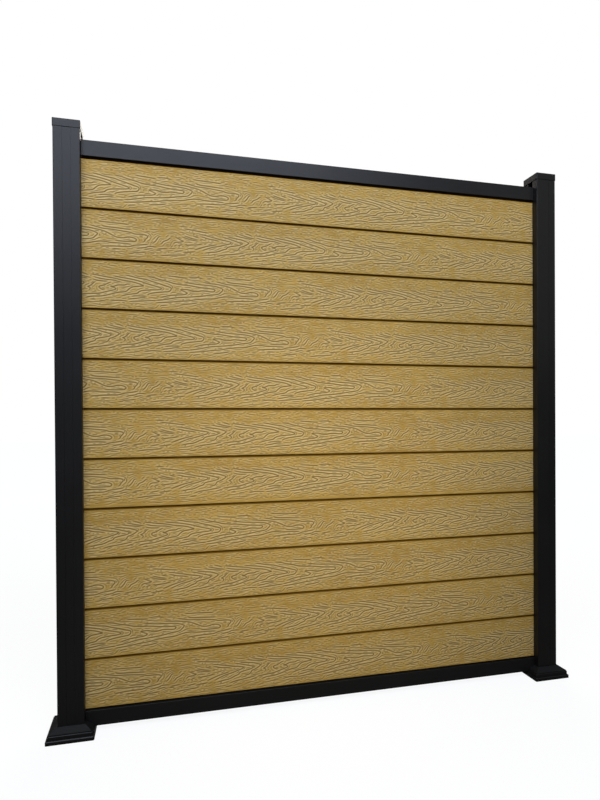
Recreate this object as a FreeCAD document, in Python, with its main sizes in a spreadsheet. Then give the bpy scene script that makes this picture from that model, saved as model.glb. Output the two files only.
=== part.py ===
import FreeCAD, Part
import os
import Sketcher

# Garden privacy screen: one bay of an outdoor fence. Eleven tongue-and-groove boards of
# wood-plastic composite stand on a bottom rail and carry no load but their own. Their ends
# sit in the slots of two aluminium posts, and a top rail closes the stack.
#
# Frame: X runs along the boards, the front faces -Y, Z points up and is 0 on the ground.
# The origin is on the ground, midway between the posts. All sizes are in millimetres.

os.makedirs("parts", exist_ok=True)
doc = FreeCAD.newDocument("garden_privacy_screen")

# ---------------------------------------------------------------- driving dimensions
SIZES = {
    # the bay
    "clear_width": 1537.0,       # between the inner faces of the posts
    "ground_gap": 17.0,          # under the bottom rail
    "board_pitch": 150.0,        # from one board joint to the next
    "joint_gap": 6.4,            # open joint between two board faces
    "rail_gap": 4.2,             # open joint between the bottom rail and the first board
    # boards
    "board_thick": 21.0,
    "board_end_gap": 2.0,        # from a board's end to the floor of a post's slot
    "tongue_thick": 7.0,
    "tongue_bite": 10.0,         # how far a tongue reaches into its groove
    "tongue_clear": 0.4,         # groove wall to tongue, each side
    "edge_break": 1.2,           # chamfer along the edges of a board's faces
    "cell_wall": 4.6,            # board wall round a cell
    "cell_rib": 5.0,             # rib between two cells
    "cell_corner": 1.5,          # chamfer in a cell's corners
    # posts
    "post_width": 75.0,
    "post_wall": 2.0,
    "post_corner": 1.6,          # outer corner radius
    "post_rise": 42.8,           # post above the top rail
    "slot_width": 24.0,
    "slot_web": 3.5,             # from the side of one slot to the floor of the next
    "clip_depth": 6.0,           # from the post's face to the clip groove of a slot
    "clip_width": 2.6,
    "clip_bite": 0.8,
    # slot cover strips
    "strip_clear": 0.3,
    "strip_thick": 1.6,
    "strip_sink": 0.5,           # below the post's face
    "strip_leg": 1.2,
    # rails
    "rail_depth": 35.0,
    "rail_height": 46.5,
    "rail_wall": 2.0,
    "rail_end_gap": 0.8,         # from a rail's end to the post's face
    "rail_tongue_wall": 1.6,
    "rail_corner": 0.8,
    "groove_spare": 1.0,         # above the top board's tongue, in the top rail
    # rail shoes
    "shoe_clear": 0.3,
    "shoe_reach": 40.0,          # length inside the rail
    "shoe_wall": 3.0,
    # post caps
    "cap_height": 22.5,
    "cap_plate": 3.0,
    "cap_wall": 1.2,
    "cap_clear": 0.2,
    "cap_corner": 2.4,
    "cap_edge": 0.9,             # bevel round the cap's top
    "lug_clear": 0.4,
    "lug_wall": 1.8,
    "lug_length": 14.0,
    # base covers
    "cover_width": 134.0,
    "cover_wall": 2.4,
    "cover_clear": 0.5,          # between the collar and the post
    "foot_height": 11.5,         # lowest tier
    "foot_step": 4.0,            # how far the second tier stands back
    "foot_bevel": 1.9,
    "plinth_height": 11.5,       # second tier
    "plinth_step": 2.6,
    "plinth_bevel": 1.1,
    "bead_height": 2.6,          # narrow third tier
    "bead_step": 1.4,
    "slope_height": 12.4,        # from the third tier up to the collar
    "cover_corner": 3.4,
    "notch_clear": 1.2,          # round the bottom rail, where it passes the cover
    # base plates
    "plate_clear": 5.6,          # plate to the inside of the cover's foot
    "plate_thick": 8.0,
    "plate_corner": 8.0,         # bevel across a corner
    "anchor_inset": 10.0,        # from the plate's edge to an anchor hole's centre
    "anchor_hole": 11.0,
    "stub_clear": 0.3,
    "stub_wall": 3.0,
    "stub_height": 240.0,
    # screws
    "screw_dia": 4.8,
    "screw_flats": 8.0,          # hexagon head, across its flats
    "screw_head": 3.2,           # height of the head
    "screw_length": 16.0,
    "screw_clear": 0.2,          # shank to pilot hole
    "stub_screw_height": 130.0,
    "cut_spare": 1.0,            # how far a cut runs past the wall it opens
}

COUNTS = {
    "board_total": 11,           # boards in the stack
    "cell_total": 4,             # hollow cells in a board
}

sheet = doc.addObject("Spreadsheet::Sheet", "dims")
for row, (alias, number) in enumerate((SIZES | COUNTS).items(), start=1):
    sheet.set(f"A{row}", alias)
    sheet.set(f"B{row}", str(number))
    sheet.setAlias(f"B{row}", alias)
doc.recompute()


def size(name):
    """The expression that reads one driving dimension."""
    return f"dims.{name}"


def value(expression):
    """What an expression comes to, as a plain number."""
    result = sheet.evalExpression(expression)
    return float(getattr(result, "Value", result))


# ---------------------------------------------------------------- derived dimensions
HALF_CLEAR = "dims.clear_width / 2"
HALF_POST = "dims.post_width / 2"
POST_X = f"({HALF_CLEAR} + {HALF_POST})"
HALF_SLOT = "dims.slot_width / 2"
SLOT_FLOOR = f"({HALF_SLOT} + dims.slot_web)"
SLOT_DEPTH = f"({HALF_POST} - {SLOT_FLOOR})"
BOARD_ENTRY = f"({SLOT_DEPTH} - dims.board_end_gap)"
RAIL_TOP = "(dims.ground_gap + dims.rail_height)"
FIRST_BOARD = f"({RAIL_TOP} + dims.rail_gap)"
FACE_HEIGHT = "(dims.board_pitch - dims.joint_gap)"
TOP_RAIL_BASE = f"({FIRST_BOARD} + dims.board_total * dims.board_pitch)"
TOP_RAIL_TOP = f"({TOP_RAIL_BASE} + dims.rail_height)"
POST_TOP = f"({TOP_RAIL_TOP} + dims.post_rise)"
POST_LENGTH = f"({POST_TOP} - dims.plate_thick)"
HALF_TONGUE = "dims.tongue_thick / 2"
HALF_GROOVE = f"({HALF_TONGUE} + dims.tongue_clear)"
TONGUE_HEIGHT = "(dims.joint_gap + dims.tongue_bite)"
BORE_HALF = f"({SLOT_FLOOR} - dims.post_wall)"
CORNER_NEAR = f"({HALF_SLOT} + dims.post_wall)"
CORNER_FAR = f"({HALF_POST} - dims.post_wall)"
RAIL_LENGTH = "(dims.clear_width - 2 * dims.rail_end_gap)"
SHOE_NECK = f"({SLOT_DEPTH} + dims.rail_end_gap)"
SHOE_LENGTH = f"({SHOE_NECK} + dims.shoe_reach)"
HALF_SHOE = "(dims.rail_depth / 2 - dims.rail_wall - dims.shoe_clear)"
HALF_NECK = f"({HALF_SLOT} - dims.shoe_clear)"
GROOVE_BASE = "(dims.tongue_bite + dims.groove_spare)"
HALF_PLATE = "(dims.cover_width / 2 - dims.cover_wall - dims.plate_clear)"


# ---------------------------------------------------------------- small helpers
def new_body(label):
    body = doc.addObject("PartDesign::Body", label)
    body.Label = label
    return body


def origin_plane(body, role):
    for feature in body.Origin.OriginFeatures:
        if feature.Role == role:
            return feature
    raise ValueError(role)


def new_sketch(body, name, role, lift=None):
    """A sketch on one of the body's own planes, lifted along the plane's normal."""
    sketch = body.newObject("Sketcher::SketchObject", name)
    sketch.AttachmentSupport = [(origin_plane(body, role), "")]
    sketch.MapMode = "FlatFace"
    if lift:
        sketch.setExpression("AttachmentOffset.Base.z", lift)
    return sketch


def hold_point(sketch, line, point, corner, tag):
    """Tie one point of a line or ring to a corner measured from the sketch's origin."""
    across, along = corner
    for axis, kind, expression in (("x", "DistanceX", across), ("y", "DistanceY", along)):
        index = sketch.addConstraint(
            Sketcher.Constraint(kind, -1, 1, line, point, value(expression)))
        sketch.renameConstraint(index, f"{tag}_{axis}")
        sketch.setExpression(f"Constraints.{tag}_{axis}", expression)


def draw_outline(sketch, corners, tag="p"):
    """A closed outline of straight lines through corners given as pairs of expressions."""
    points = [FreeCAD.Vector(value(x), value(y), 0) for x, y in corners]
    first = sketch.GeometryCount
    for number, point in enumerate(points):
        following = points[(number + 1) % len(points)]
        sketch.addGeometry(Part.LineSegment(point, following), False)
    for number, corner in enumerate(corners):
        line = first + number
        following = first + (number + 1) % len(corners)
        sketch.addConstraint(Sketcher.Constraint("Coincident", line, 2, following, 1))
        hold_point(sketch, line, 1, corner, f"{tag}{number}")


def draw_circle(sketch, centre, radius, tag="hole"):
    middle = FreeCAD.Vector(value(centre[0]), value(centre[1]), 0)
    ring = sketch.addGeometry(
        Part.Circle(middle, FreeCAD.Vector(0, 0, 1), value(radius)), False)
    hold_point(sketch, ring, 3, centre, tag)
    index = sketch.addConstraint(Sketcher.Constraint("Radius", ring, value(radius)))
    sketch.renameConstraint(index, f"{tag}_r")
    sketch.setExpression(f"Constraints.{tag}_r", radius)


def rectangle(low_x, low_y, high_x, high_y):
    return [(low_x, low_y), (high_x, low_y), (high_x, high_y), (low_x, high_y)]


def square(half):
    return rectangle(f"-({half})", f"-({half})", half, half)


def mirrored(corners):
    """Corners on the right side of an upright outline, then the same ones on the left."""
    return corners + [(f"-({x})", y) for x, y in reversed(corners)]


def pad(body, name, sketch, length, both_sides=False):
    feature = body.newObject("PartDesign::Pad", name)
    feature.Profile = sketch
    feature.setExpression("Length", length)
    feature.Midplane = both_sides
    sketch.Visibility = False
    doc.recompute()
    return feature


def pocket(body, name, sketch, length=None, both_sides=False, flip=False):
    """Cut a sketch into the body, and make sure that it did cut."""
    before = body.Shape.Volume
    feature = body.newObject("PartDesign::Pocket", name)
    feature.Profile = sketch
    if length:
        feature.setExpression("Length", length)
    else:
        feature.Type = "ThroughAll"
    feature.Midplane = both_sides
    feature.Reversed = flip
    sketch.Visibility = False
    doc.recompute()
    if body.Shape.Volume >= before:
        raise ValueError(f"{body.Label}: {name} cuts nothing")
    return feature


def repeat_round(body, name, feature, times):
    """Copies of a feature, evenly spaced round the body's upright axis."""
    pattern = body.newObject("PartDesign::PolarPattern", name)
    pattern.Originals = [feature]
    pattern.Axis = (origin_plane(body, "Z_Axis"), [""])
    pattern.Angle = 360
    pattern.Occurrences = times
    body.Tip = pattern
    doc.recompute()
    return pattern


def edges_where(body, test):
    return [f"Edge{number}" for number, edge in enumerate(body.Shape.Edges, start=1)
            if test(edge)]


def break_edges(body, kind, name, test, amount):
    """Round ("Fillet") or bevel ("Chamfer") the edges that pass a test."""
    base = body.Tip
    names = edges_where(body, test)
    feature = body.newObject(f"PartDesign::{kind}", name)
    feature.Base = (base, names)
    feature.setExpression({"Fillet": "Radius", "Chamfer": "Size"}[kind], amount)
    doc.recompute()


NEAR = 0.01


def upright_at(distance):
    """Upright edges whose larger plan distance from the axis is the one given."""
    def test(edge):
        low, high = edge.BoundBox.getPoint(0), edge.BoundBox.getPoint(6)
        straight_up = abs(high.x - low.x) < NEAR and abs(high.y - low.y) < NEAR
        return (straight_up and edge.Length > NEAR
                and abs(abs(low.x) - distance) < NEAR and abs(abs(low.y) - distance) < NEAR)
    return test


def level_at(height, half):
    """Edges at one height that belong to the square of the half width given."""
    def test(edge):
        box = edge.BoundBox
        flat = abs(box.ZMin - height) < NEAR and abs(box.ZMax - height) < NEAR
        reach = max(abs(box.XMin), abs(box.XMax), abs(box.YMin), abs(box.YMax))
        return flat and abs(reach - half) < NEAR
    return test


def set_in_place(body, x="0", y="0", z="0", axis=(0, 0, 1), angle=0.0):
    """Set a finished body in the bay: its turn is fixed, its place follows the sheet."""
    body.Placement = FreeCAD.Placement(
        FreeCAD.Vector(value(x), value(y), value(z)),
        FreeCAD.Rotation(FreeCAD.Vector(*axis), angle))
    body.setExpression("Placement.Base.x", x)
    body.setExpression("Placement.Base.y", y)
    body.setExpression("Placement.Base.z", z)


# The right-hand pieces are the left-hand ones turned half round about the upright axis.
SIDES = {"left": (f"-({POST_X})", 0.0), "right": (POST_X, 180.0)}
sub_parts = []


# ---------------------------------------------------------------- posts
def make_post(label):
    """Extruded four-way post: a slot in each face, a square bore in each corner and one
    in the middle. Near its mouth each slot has a groove in both walls for a clip."""
    body = new_body(label)
    outer = new_sketch(body, "outer", "XY_Plane")
    draw_outline(outer, square(HALF_POST))
    pad(body, "extrusion", outer, POST_LENGTH)
    break_edges(body, "Fillet", "corners", upright_at(value(HALF_POST)), size("post_corner"))

    clip_top = f"({HALF_POST} - dims.clip_depth)"
    clip_low = f"({clip_top} - dims.clip_width)"
    bite = f"({HALF_SLOT} + dims.clip_bite)"
    mouth = f"({HALF_POST} + dims.slot_width)"
    slot = new_sketch(body, "slot", "XY_Plane")
    draw_outline(slot, mirrored([
        (HALF_SLOT, SLOT_FLOOR), (HALF_SLOT, clip_low), (bite, clip_low),
        (bite, clip_top), (HALF_SLOT, clip_top), (HALF_SLOT, mouth)]))
    cut = pocket(body, "slot_cut", slot, flip=True)
    repeat_round(body, "slots", cut, 4)

    bore = new_sketch(body, "corner_bore", "XY_Plane")
    draw_outline(bore, rectangle(CORNER_NEAR, CORNER_NEAR, CORNER_FAR, CORNER_FAR))
    cut = pocket(body, "corner_bore_cut", bore, flip=True)
    repeat_round(body, "corner_bores", cut, 4)

    middle = new_sketch(body, "middle_bore", "XY_Plane")
    draw_outline(middle, square(BORE_HALF))
    pocket(body, "middle_bore_cut", middle, flip=True)

    drill_post(body)
    return body


SHOE_AXES = {
    "low": f"({RAIL_TOP} - dims.rail_height / 2 - dims.plate_thick)",
    "high": f"({TOP_RAIL_TOP} - (dims.rail_height - {GROOVE_BASE}) / 2 - dims.plate_thick)",
}


def drill_post(body):
    """Pilot holes: for the shoe screws in the slot towards the boards (+X), and for the
    stub screw in the outer slot (-X). Heights are from the post's foot."""
    pilot = "dims.screw_dia / 2"
    shoe_holes = new_sketch(body, "shoe_holes", "YZ_Plane")
    for name, height in SHOE_AXES.items():
        draw_circle(shoe_holes, ("0", height), pilot, name)
    pocket(body, "shoe_hole_cut", shoe_holes, HALF_POST, flip=True)
    stub_hole = new_sketch(body, "stub_hole", "YZ_Plane")
    draw_circle(stub_hole, ("0", "(dims.stub_screw_height - dims.plate_thick)"), pilot)
    pocket(body, "stub_hole_cut", stub_hole, HALF_POST)


# ---------------------------------------------------------------- slot cover strips
def make_strip(label):
    """Snap-in strip that closes an unused slot: a thin face with two barbed legs that
    catch in the slot's clip grooves. Drawn for the slot that opens towards -Y."""
    body = new_body(label)
    half = f"({HALF_SLOT} - dims.strip_clear)"
    inner = f"({half} - dims.strip_leg)"
    face = f"-({HALF_POST} - dims.strip_sink)"
    back = f"({face} + dims.strip_thick)"
    barb = f"({HALF_SLOT} + dims.clip_bite - dims.strip_clear)"
    barb_top = f"-({HALF_POST} - dims.clip_depth - dims.strip_clear)"
    barb_low = f"-({HALF_POST} - dims.clip_depth - dims.clip_width + dims.strip_clear)"
    outline = new_sketch(body, "section", "XY_Plane")
    draw_outline(outline, mirrored([
        (half, face), (half, barb_top), (barb, barb_top), (half, barb_low),
        (inner, barb_low), (inner, back)]))
    pad(body, "extrusion", outline, POST_LENGTH)
    return body


# ---------------------------------------------------------------- post caps
def make_cap(label):
    """Flat cap: a thin skirt outside the post and four square lugs that push into the
    post's corner bores. Its own zero is the post's top."""
    body = new_body(label)
    half_inner = f"({HALF_POST} + dims.cap_clear)"
    half_outer = f"({half_inner} + dims.cap_wall)"
    skirt = "(dims.cap_height - dims.cap_plate)"
    outer = new_sketch(body, "outer", "XY_Plane", f"-({skirt})")
    draw_outline(outer, square(half_outer))
    pad(body, "block", outer, size("cap_height"))
    break_edges(body, "Fillet", "corners", upright_at(value(half_outer)), size("cap_corner"))
    top_edge = level_at(value("dims.cap_plate"), value(half_outer))
    break_edges(body, "Chamfer", "top_edge", top_edge, size("cap_edge"))

    hollow = new_sketch(body, "hollow", "XY_Plane", f"-({skirt})")
    draw_outline(hollow, square(half_inner))
    pocket(body, "hollow_cut", hollow, skirt, flip=True)

    near = f"({CORNER_NEAR} + dims.lug_clear)"
    far = f"({CORNER_FAR} - dims.lug_clear)"
    near_in = f"({near} + dims.lug_wall)"
    far_in = f"({far} - dims.lug_wall)"
    lug = new_sketch(body, "lug", "XY_Plane", "-dims.lug_length")
    draw_outline(lug, rectangle(near, near, far, far), "out")
    draw_outline(lug, rectangle(near_in, near_in, far_in, far_in), "in")
    first_lug = pad(body, "lug_pad", lug, size("lug_length"))
    repeat_round(body, "lugs", first_lug, 4)
    return body


# ---------------------------------------------------------------- base covers
def make_cover(label):
    """Stepped moulding round the post's foot: one wall section swept round a square with
    mitred corners. The side towards the boards is notched for the bottom rail."""
    body = new_body(label)
    foot = "dims.cover_width / 2"
    plinth = f"({foot} - dims.foot_step)"
    bead = f"({plinth} - dims.plinth_step)"
    slope = f"({bead} - dims.bead_step)"
    collar = f"({HALF_POST} + dims.cover_clear)"
    foot_top = size("foot_height")
    plinth_top = f"({foot_top} + dims.plinth_height)"
    bead_top = f"({plinth_top} + dims.bead_height)"
    collar_top = f"({bead_top} + dims.slope_height)"
    wall = size("cover_wall")

    spine = new_sketch(body, "spine", "XY_Plane")
    draw_outline(spine, square(foot))
    section = new_sketch(body, "section", "XZ_Plane")
    draw_outline(section, [
        (foot, "0"), (foot, foot_top), (plinth, foot_top), (plinth, plinth_top),
        (bead, plinth_top), (bead, bead_top), (slope, bead_top),
        (f"({collar} + {wall})", collar_top), (collar, collar_top),
        (collar, f"({collar_top} - {wall})"), (f"({slope} - {wall})", f"({bead_top} - {wall})"),
        (f"({plinth} - {wall})", f"({plinth_top} - {wall})"),
        (f"({plinth} - {wall})", f"({foot_top} - {wall})"),
        (f"({foot} - {wall})", f"({foot_top} - {wall})"), (f"({foot} - {wall})", "0")])
    sweep = body.newObject("PartDesign::AdditivePipe", "moulding")
    sweep.Profile = section
    sweep.Spine = (spine, ["Edge1", "Edge2", "Edge3", "Edge4"])
    sweep.Transition = "Right corner"
    section.Visibility = False
    spine.Visibility = False
    doc.recompute()

    tiers = (("foot", foot, foot_top), ("plinth", plinth, plinth_top))
    for tier, half, top in tiers:
        corners = upright_at(value(half))
        break_edges(body, "Fillet", f"{tier}_corners", corners, size("cover_corner"))
        top_edge = level_at(value(top), value(half))
        break_edges(body, "Chamfer", f"{tier}_edge", top_edge, size(f"{tier}_bevel"))

    half_notch = "(dims.rail_depth / 2 + dims.notch_clear)"
    notch = new_sketch(body, "rail_notch", "YZ_Plane")
    draw_outline(notch, rectangle(
        f"-{half_notch}", "(dims.ground_gap - dims.notch_clear)", half_notch,
        f"({collar_top} + dims.cut_spare)"))
    pocket(body, "rail_notch_cut", notch, f"({foot} + dims.cut_spare)", flip=True)
    return body


# ---------------------------------------------------------------- base plates
def make_plate(label):
    """Steel plate with four anchor holes and a welded square stub that stands in the
    post's middle bore. The stub takes the stub screw on its outer side and the lower
    shoe's screw on the side towards the boards (+X)."""
    body = new_body(label)
    outline = new_sketch(body, "outline", "XY_Plane")
    draw_outline(outline, square(HALF_PLATE))
    pad(body, "plate", outline, size("plate_thick"))
    corners = upright_at(value(HALF_PLATE))
    break_edges(body, "Chamfer", "corners", corners, size("plate_corner"))

    anchor = f"({HALF_PLATE} - dims.anchor_inset)"
    hole = new_sketch(body, "anchor_hole", "XY_Plane")
    draw_circle(hole, (anchor, anchor), "dims.anchor_hole / 2")
    cut = pocket(body, "anchor_hole_cut", hole, flip=True)
    repeat_round(body, "anchor_holes", cut, 4)

    stub_half = f"({BORE_HALF} - dims.stub_clear)"
    stub = new_sketch(body, "stub", "XY_Plane", size("plate_thick"))
    draw_outline(stub, square(stub_half), "out")
    draw_outline(stub, square(f"({stub_half} - dims.stub_wall)"), "in")
    pad(body, "stub_pad", stub, size("stub_height"))

    screw_hole = new_sketch(body, "screw_hole", "YZ_Plane")
    draw_circle(screw_hole, ("0", size("stub_screw_height")), "dims.screw_dia / 2")
    pocket(body, "screw_hole_cut", screw_hole, HALF_POST)
    shoe_hole = new_sketch(body, "shoe_hole", "YZ_Plane")
    draw_circle(shoe_hole, ("0", f"({RAIL_TOP} - dims.rail_height / 2)"), "dims.screw_dia / 2")
    pocket(body, "shoe_hole_cut", shoe_hole, HALF_POST, flip=True)
    return body


# ---------------------------------------------------------------- rails
HALF_RAIL = "dims.rail_depth / 2"


def make_bottom_rail(label):
    """Hollow rail whose upright tongue stands in the lowest board's groove. The section
    is drawn across the rail and is pulled both ways along X."""
    body = new_body(label)
    wall = size("rail_wall")
    tip = "(dims.rail_height + dims.rail_gap + dims.tongue_bite)"
    section = new_sketch(body, "section", "YZ_Plane")
    draw_outline(section, mirrored([
        (HALF_RAIL, "0"), (HALF_RAIL, "dims.rail_height"),
        (HALF_TONGUE, "dims.rail_height"), (HALF_TONGUE, tip)]))
    pad(body, "extrusion", section, RAIL_LENGTH, both_sides=True)
    round_rail(body, ("0", "dims.rail_height"))

    inner = f"({HALF_RAIL} - {wall})"
    fin = f"({HALF_TONGUE} - dims.rail_tongue_wall)"
    hollow = new_sketch(body, "hollow", "YZ_Plane")
    draw_outline(hollow, rectangle(
        f"-{inner}", wall, inner, f"(dims.rail_height - {wall})"), "box")
    draw_outline(hollow, rectangle(
        f"-{fin}", "dims.rail_height", fin, f"({tip} - dims.rail_tongue_wall)"), "fin")
    pocket(body, "hollow_cut", hollow, both_sides=True)
    drill_rail(body, "(dims.rail_height / 2)")
    return body


def make_top_rail(label):
    """Hollow rail with a groove below that takes the top board's tongue."""
    body = new_body(label)
    wall = size("rail_wall")
    section = new_sketch(body, "section", "YZ_Plane")
    draw_outline(section, mirrored([
        (HALF_GROOVE, GROOVE_BASE), (HALF_GROOVE, "0"),
        (HALF_RAIL, "0"), (HALF_RAIL, "dims.rail_height")]))
    pad(body, "extrusion", section, RAIL_LENGTH, both_sides=True)
    round_rail(body, ("0", "dims.rail_height"))

    inner = f"({HALF_RAIL} - {wall})"
    beside = f"({HALF_GROOVE} + {wall})"
    shelf = f"({GROOVE_BASE} + {wall})"
    hollow = new_sketch(body, "hollow", "YZ_Plane")
    draw_outline(hollow, mirrored([
        (beside, shelf), (beside, wall), (inner, wall),
        (inner, f"(dims.rail_height - {wall})")]))
    pocket(body, "hollow_cut", hollow, both_sides=True)
    drill_rail(body, f"((dims.rail_height + {GROOVE_BASE}) / 2)")
    return body


def round_rail(body, heights):
    """Break the rail's long outer edges."""
    side = value(HALF_RAIL)
    levels = [value(height) for height in heights]

    def test(edge):
        middle = edge.BoundBox.Center
        along = edge.BoundBox.XLength > value(RAIL_LENGTH) / 2
        return (along and abs(abs(middle.y) - side) < NEAR
                and min(abs(middle.z - level) for level in levels) < NEAR)
    break_edges(body, "Fillet", "long_edges", test, size("rail_corner"))


SCREW_INSET = "(dims.shoe_reach / 2)"
RAIL_SCREW_X = f"({RAIL_LENGTH} / 2 - {SCREW_INSET})"


def drill_rail(body, height):
    """One screw hole near each end, through the rear wall."""
    holes = new_sketch(body, "screw_holes", "XZ_Plane")
    for name, sign in (("left", "-"), ("right", "")):
        draw_circle(holes, (f"{sign}{RAIL_SCREW_X}", height), "dims.screw_dia / 2", name)
    pocket(body, "screw_hole_cut", holes, HALF_RAIL)


# ---------------------------------------------------------------- rail shoes
BOTTOM_SHOE_HALF = "(dims.rail_height / 2 - dims.rail_wall)"
TOP_SHOE_HALF = f"((dims.rail_height - {GROOVE_BASE}) / 2 - dims.rail_wall)"


def make_shoe(label, half_height, turned):
    """Moulded block that carries a rail's end: a neck fills the post's slot down to its
    floor, and a wider body stands inside the rail. It is open towards the rail, so the
    screw into the slot's floor is reached from there. Its own zero is the slot's floor,
    and it points towards +X. The hole for the rail's screw is in the rear wall, which is
    the -Y one on a shoe that will be turned half round."""
    body = new_body(label)
    neck = new_sketch(body, "neck", "YZ_Plane")
    draw_outline(neck, rectangle(
        f"-{HALF_NECK}", f"-{half_height}", HALF_NECK, half_height))
    pad(body, "neck_pad", neck, SHOE_LENGTH)
    inside = new_sketch(body, "inside", "YZ_Plane", SHOE_NECK)
    draw_outline(inside, rectangle(
        f"-{HALF_SHOE}", f"-{half_height}", HALF_SHOE, half_height))
    pad(body, "inside_pad", inside, size("shoe_reach"))

    well_half = f"({HALF_NECK} - dims.shoe_wall)"
    well_height = f"({half_height} - dims.shoe_wall)"
    well = new_sketch(body, "well", "YZ_Plane", size("shoe_wall"))
    draw_outline(well, rectangle(
        f"-{well_half}", f"-{well_height}", well_half, well_height))
    pocket(body, "well_cut", well, flip=True)

    hole = new_sketch(body, "floor_hole", "YZ_Plane")
    draw_circle(hole, ("0", "0"), "dims.screw_dia / 2")
    pocket(body, "floor_hole_cut", hole, "(dims.shoe_wall + dims.cut_spare)", flip=True)
    side_hole = new_sketch(body, "side_hole", "XZ_Plane")
    draw_circle(side_hole, (f"({SHOE_NECK} + {SCREW_INSET})", "0"), "dims.screw_dia / 2")
    pocket(body, "side_hole_cut", side_hole, HALF_RAIL, flip=turned)
    return body


# ---------------------------------------------------------------- boards
def make_board(label):
    """Composite board: a tongue along the top, a groove along the bottom, broken edges
    and a row of hollow cells. Its own zero is the bottom of its face."""
    body = new_body(label)
    half = "dims.board_thick / 2"
    soft = size("edge_break")
    inset = f"({half} - {soft})"
    section = new_sketch(body, "section", "YZ_Plane")
    draw_outline(section, mirrored([
        (HALF_GROOVE, "dims.tongue_bite"), (HALF_GROOVE, "0"), (inset, "0"), (half, soft),
        (half, f"({FACE_HEIGHT} - {soft})"), (inset, FACE_HEIGHT),
        (HALF_TONGUE, FACE_HEIGHT), (HALF_TONGUE, f"({FACE_HEIGHT} + {TONGUE_HEIGHT})")]))
    length = f"(dims.clear_width + 2 * {BOARD_ENTRY})"
    pad(body, "extrusion", section, length, both_sides=True)

    room = f"({FACE_HEIGHT} - dims.tongue_bite - 2 * dims.cell_wall)"
    ribs = "(dims.cell_total - 1) * dims.cell_rib"
    cell_height = f"(({room} - {ribs}) / dims.cell_total)"
    half_cell = f"({half} - dims.cell_wall)"
    first = "(dims.tongue_bite + dims.cell_wall)"
    corner = size("cell_corner")
    cell = new_sketch(body, "cell", "YZ_Plane")
    draw_outline(cell, mirrored([
        (f"({half_cell} - {corner})", first), (half_cell, f"({first} + {corner})"),
        (half_cell, f"({first} + {cell_height} - {corner})"),
        (f"({half_cell} - {corner})", f"({first} + {cell_height})")]))
    cut = pocket(body, "cell_cut", cell, both_sides=True)
    row = body.newObject("PartDesign::LinearPattern", "cells")
    row.Originals = [cut]
    row.Direction = (origin_plane(body, "Z_Axis"), [""])
    row.Mode = "Spacing"
    row.setExpression("Offset", f"{cell_height} + dims.cell_rib")
    row.setExpression("Occurrences", size("cell_total"))
    body.Tip = row
    doc.recompute()
    return body


# ---------------------------------------------------------------- screws
def make_screw(name):
    """Hexagon-head screw. The underside of its head is at zero and the shank points
    down."""
    body = new_body(name)
    round_end = new_sketch(body, "round_end", "XY_Plane", "-dims.screw_length")
    draw_circle(round_end, ("0", "0"), "(dims.screw_dia / 2 - dims.screw_clear)")
    pad(body, "shank", round_end, size("screw_length"))

    flat = "(dims.screw_flats / 2)"
    point, half_side = f"({flat} / cos(30))", f"({flat} * tan(30))"
    hexagon = new_sketch(body, "hexagon", "XY_Plane")
    draw_outline(hexagon, [
        (point, "0"), (half_side, flat), (f"-{half_side}", flat),
        (f"-{point}", "0"), (f"-{half_side}", f"-{flat}"), (half_side, f"-{flat}")])
    pad(body, "head", hexagon, size("screw_head"))
    return body


def make_screw_group(label, places):
    """One node of identical screws, each with its own place and direction."""
    screws = []
    for number, (x, y, z, axis, angle) in enumerate(places, start=1):
        screw = make_screw(f"{label}_{number}")
        set_in_place(screw, x, y, z, axis, angle)
        screws.append(screw)
    group = doc.addObject("Part::Compound", label)
    group.Label = label
    group.Links = screws
    doc.recompute()
    sub_parts.append(group)


# ---------------------------------------------------------------- the assembly
STRIP_TURNS = {"front": 0.0, "outer": -90.0, "back": 180.0}

for side, (centre, turn) in SIDES.items():
    post = make_post(f"{side}_post")
    set_in_place(post, centre, z=size("plate_thick"), angle=turn)
    cap = make_cap(f"{side}_post_cap")
    set_in_place(cap, centre, z=POST_TOP, angle=turn)
    cover = make_cover(f"{side}_base_cover")
    set_in_place(cover, centre, angle=turn)
    plate = make_plate(f"{side}_base_plate")
    set_in_place(plate, centre, angle=turn)
    sub_parts += [post, cap, cover, plate]
    for face, strip_turn in STRIP_TURNS.items():
        strip = make_strip(f"{side}_{face}_strip")
        facing = strip_turn + (turn if face == "outer" else 0.0)
        set_in_place(strip, centre, z=size("plate_thick"), angle=facing)
        sub_parts.append(strip)

bottom_rail = make_bottom_rail("bottom_rail")
set_in_place(bottom_rail, z=size("ground_gap"))
top_rail = make_top_rail("top_rail")
set_in_place(top_rail, z=TOP_RAIL_BASE)
sub_parts += [bottom_rail, top_rail]

for number in range(int(value("dims.board_total"))):
    board = make_board(f"board_{number + 1:02d}")
    set_in_place(board, z=f"({FIRST_BOARD} + {number} * dims.board_pitch)")
    sub_parts.append(board)

FLOOR_X = f"({POST_X} - {SLOT_FLOOR})"
SHOES = {
    "bottom": (BOTTOM_SHOE_HALF, f"({RAIL_TOP} - dims.rail_height / 2)"),
    "top": (TOP_SHOE_HALF, f"({TOP_RAIL_TOP} - (dims.rail_height - {GROOVE_BASE}) / 2)"),
}
for level, (half_height, height) in SHOES.items():
    for side, (centre, turn) in SIDES.items():
        shoe = make_shoe(f"{level}_{side}_shoe", half_height, turned=side == "right")
        floor = f"-{FLOOR_X}" if side == "left" else FLOOR_X
        set_in_place(shoe, floor, z=height, angle=turn)
        sub_parts.append(shoe)

# A shoe screw bears on the inside of the shoe's end wall and points into the post.
SHOE_SCREW_X = f"({FLOOR_X} - dims.shoe_wall)"
make_screw_group("shoe_screws", [
    (f"{sign}{SHOE_SCREW_X}", "0", height, (0, 1, 0), turn)
    for _, height in SHOES.values() for sign, turn in (("-", 90.0), ("", -90.0))])

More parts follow.
